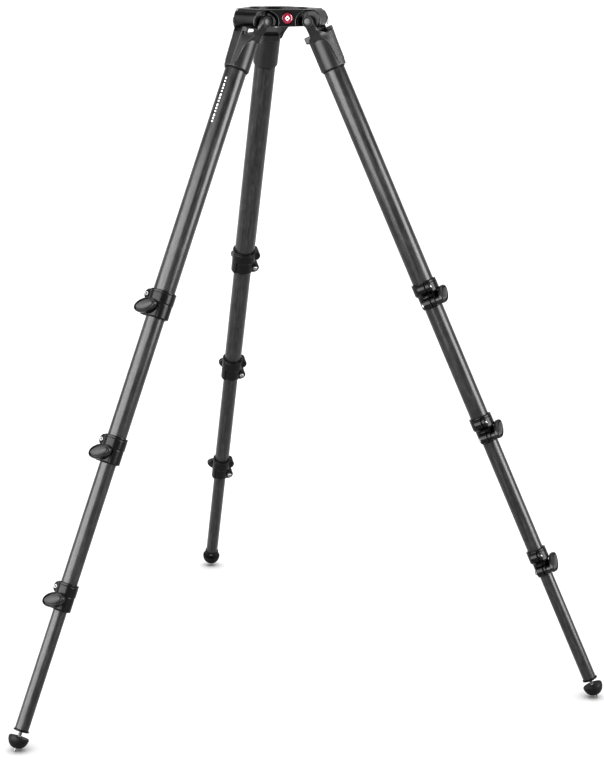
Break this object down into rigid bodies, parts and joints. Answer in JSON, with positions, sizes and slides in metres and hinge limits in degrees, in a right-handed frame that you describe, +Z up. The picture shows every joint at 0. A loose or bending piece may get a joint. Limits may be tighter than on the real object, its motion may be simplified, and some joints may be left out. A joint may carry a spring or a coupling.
{
  "type": "video tripod",
  "caption": "Folding camera support with a ring-shaped bowl hub, hinged telescoping tube legs, clamp collars with oval knobs, and spiked rubber feet.",
  "frame": {"origin": "middle of the footprint's box on the ground, under the spike tips", "axes": "+Z up along the hub's axis, +Y towards the back leg, so that the badge on the hub faces -Y"},
  "size_m": [1.0122, 0.881, 1.1518],
  "materials": {
    "hub_casting": "satin black powder coat",
    "badge": "gloss red",
    "bracket_casting": "fine-textured dark grey",
    "carbon_tube": "clear-coated carbon fibre",
    "clamp_casting": "satin black",
    "selector_plastic": "matt black",
    "knob_plastic": "soft dark grey",
    "steel": "bright zinc",
    "rubber": "matt black"
  },
  "bodies": {
    "hub": {"hub": "hub_casting", "badge": "badge"},
    "leg_back": {"hinge_pin_back": "steel", "leg_bracket_back": "bracket_casting", "tube_1_back": "carbon_tube", "clamp_collar_1_back": "clamp_casting", "clamp_bolt_1_back": "steel"},
    "selector_back": {"angle_selector_back": "selector_plastic"},
    "section_2_back": {"tube_2_back": "carbon_tube", "clamp_collar_2_back": "clamp_casting", "clamp_bolt_2_back": "steel"},
    "section_3_back": {"tube_3_back": "carbon_tube", "clamp_collar_3_back": "clamp_casting", "clamp_bolt_3_back": "steel"},
    "section_4_back": {"tube_4_back": "carbon_tube", "end_plug_back": "clamp_casting", "spike_back": "steel"},
    "knob_1_back": {"clamp_knob_1_back": "knob_plastic"},
    "knob_2_back": {"clamp_knob_2_back": "knob_plastic"},
    "knob_3_back": {"clamp_knob_3_back": "knob_plastic"},
    "foot_back": {"rubber_foot_back": "rubber"},
    "leg_left": {"hinge_pin_left": "steel", "leg_bracket_left": "bracket_casting", "tube_1_left": "carbon_tube", "clamp_collar_1_left": "clamp_casting", "clamp_bolt_1_left": "steel"},
    "selector_left": {"angle_selector_left": "selector_plastic"},
    "section_2_left": {"tube_2_left": "carbon_tube", "clamp_collar_2_left": "clamp_casting", "clamp_bolt_2_left": "steel"},
    "section_3_left": {"tube_3_left": "carbon_tube", "clamp_collar_3_left": "clamp_casting", "clamp_bolt_3_left": "steel"},
    "section_4_left": {"tube_4_left": "carbon_tube", "end_plug_left": "clamp_casting", "spike_left": "steel"},
    "knob_1_left": {"clamp_knob_1_left": "knob_plastic"},
    "knob_2_left": {"clamp_knob_2_left": "knob_plastic"},
    "knob_3_left": {"clamp_knob_3_left": "knob_plastic"},
    "foot_left": {"rubber_foot_left": "rubber"},
    "leg_right": {"hinge_pin_right": "steel", "leg_bracket_right": "bracket_casting", "tube_1_right": "carbon_tube", "clamp_collar_1_right": "clamp_casting", "clamp_bolt_1_right": "steel"},
    "selector_right": {"angle_selector_right": "selector_plastic"},
    "section_2_right": {"tube_2_right": "carbon_tube", "clamp_collar_2_right": "clamp_casting", "clamp_bolt_2_right": "steel"},
    "section_3_right": {"tube_3_right": "carbon_tube", "clamp_collar_3_right": "clamp_casting", "clamp_bolt_3_right": "steel"},
    "section_4_right": {"tube_4_right": "carbon_tube", "end_plug_right": "clamp_casting", "spike_right": "steel"},
    "knob_1_right": {"clamp_knob_1_right": "knob_plastic"},
    "knob_2_right": {"clamp_knob_2_right": "knob_plastic"},
    "knob_3_right": {"clamp_knob_3_right": "knob_plastic"},
    "foot_right": {"rubber_foot_right": "rubber"}
  },
  "joints": [
    {"name": "leg_hinge_back", "type": "hinge", "parent": "hub", "child": "leg_back", "pos_m": [0, -0.08121, 1.13178], "axis": [1, 0, 0], "range_deg": [-24.45, 63.55]},
    {"name": "selector_slide_back", "type": "slide", "parent": "leg_back", "child": "selector_back", "axis": [0, 0.9103, 0.4139], "range_m": [0, 0.004], "stiffness_N_per_m": 300},
    {"name": "extend_2_back", "type": "slide", "parent": "leg_back", "child": "section_2_back", "axis": [0, 0.4139, -0.9103], "range_m": [-0.198, 0.19]},
    {"name": "extend_3_back", "type": "slide", "parent": "section_2_back", "child": "section_3_back", "axis": [0, 0.4139, -0.9103], "range_m": [-0.198, 0.235]},
    {"name": "extend_4_back", "type": "slide", "parent": "section_3_back", "child": "section_4_back", "axis": [0, 0.4139, -0.9103], "range_m": [-0.192, 0.28]},
    {"name": "knob_turn_1_back", "type": "hinge", "parent": "leg_back", "child": "knob_1_back", "pos_m": [0.0208, 0.12773, 0.67225], "axis": [0, 0.9103, 0.4139], "range_deg": [0, 180]},
    {"name": "knob_turn_2_back", "type": "hinge", "parent": "section_2_back", "child": "knob_2_back", "pos_m": [0.0184, 0.22996, 0.4474], "axis": [0, 0.9103, 0.4139], "range_deg": [0, 180]},
    {"name": "knob_turn_3_back", "type": "hinge", "parent": "section_3_back", "child": "knob_3_back", "pos_m": [0.0162, 0.3324, 0.22209], "axis": [0, 0.9103, 0.4139], "range_deg": [0, 180]},
    {"name": "foot_screw_back", "type": "slide", "parent": "section_4_back", "child": "foot_back", "axis": [0, -0.4139, 0.9103], "range_m": [-0.003, 0.005]},
    {"name": "leg_hinge_left", "type": "hinge", "parent": "hub", "child": "leg_left", "pos_m": [-0.05214, -0.17151, 1.13178], "axis": [-0.5, 0.866, 0], "range_deg": [-24.45, 63.55]},
    {"name": "selector_slide_left", "type": "slide", "parent": "leg_left", "child": "selector_left", "axis": [-0.7884, -0.4552, 0.4139], "range_m": [0, 0.004], "stiffness_N_per_m": 300},
    {"name": "extend_2_left", "type": "slide", "parent": "leg_left", "child": "section_2_left", "axis": [-0.3584, -0.2069, -0.9103], "range_m": [-0.198, 0.19]},
    {"name": "extend_3_left", "type": "slide", "parent": "section_2_left", "child": "section_3_left", "axis": [-0.3584, -0.2069, -0.9103], "range_m": [-0.198, 0.235]},
    {"name": "extend_4_left", "type": "slide", "parent": "section_3_left", "child": "section_4_left", "axis": [-0.3584, -0.2069, -0.9103], "range_m": [-0.192, 0.28]},
    {"name": "knob_turn_1_left", "type": "hinge", "parent": "leg_left", "child": "knob_1_left", "pos_m": [-0.24348, -0.25796, 0.67225], "axis": [-0.7884, -0.4552, 0.4139], "range_deg": [0, 180]},
    {"name": "knob_turn_2_left", "type": "hinge", "parent": "section_2_left", "child": "knob_2_left", "pos_m": [-0.33082, -0.31116, 0.4474], "axis": [-0.7884, -0.4552, 0.4139], "range_deg": [0, 180]},
    {"name": "knob_turn_3_left", "type": "hinge", "parent": "section_3_left", "child": "knob_3_left", "pos_m": [-0.41843, -0.36428, 0.22209], "axis": [-0.7884, -0.4552, 0.4139], "range_deg": [0, 180]},
    {"name": "foot_screw_left", "type": "slide", "parent": "section_4_left", "child": "foot_left", "axis": [0.3584, 0.2069, 0.9103], "range_m": [-0.003, 0.005]},
    {"name": "leg_hinge_right", "type": "hinge", "parent": "hub", "child": "leg_right", "pos_m": [0.05214, -0.17151, 1.13178], "axis": [-0.5, -0.866, 0], "range_deg": [-24.45, 63.55]},
    {"name": "selector_slide_right", "type": "slide", "parent": "leg_right", "child": "selector_right", "axis": [0.7884, -0.4552, 0.4139], "range_m": [0, 0.004], "stiffness_N_per_m": 300},
    {"name": "extend_2_right", "type": "slide", "parent": "leg_right", "child": "section_2_right", "axis": [0.3584, -0.2069, -0.9103], "range_m": [-0.198, 0.19]},
    {"name": "extend_3_right", "type": "slide", "parent": "section_2_right", "child": "section_3_right", "axis": [0.3584, -0.2069, -0.9103], "range_m": [-0.198, 0.235]},
    {"name": "extend_4_right", "type": "slide", "parent": "section_3_right", "child": "section_4_right", "axis": [0.3584, -0.2069, -0.9103], "range_m": [-0.192, 0.28]},
    {"name": "knob_turn_1_right", "type": "hinge", "parent": "leg_right", "child": "knob_1_right", "pos_m": [0.22268, -0.29399, 0.67225], "axis": [0.7884, -0.4552, 0.4139], "range_deg": [0, 180]},
    {"name": "knob_turn_2_right", "type": "hinge", "parent": "section_2_right", "child": "knob_2_right", "pos_m": [0.31241, -0.34303, 0.4474], "axis": [0.7884, -0.4552, 0.4139], "range_deg": [0, 180]},
    {"name": "knob_turn_3_right", "type": "hinge", "parent": "section_3_right", "child": "knob_3_right", "pos_m": [0.40223, -0.39234, 0.22209], "axis": [0.7884, -0.4552, 0.4139], "range_deg": [0, 180]},
    {"name": "foot_screw_right", "type": "slide", "parent": "section_4_right", "child": "foot_right", "axis": [-0.3584, 0.2069, 0.9103], "range_m": [-0.003, 0.005]}
  ]
}
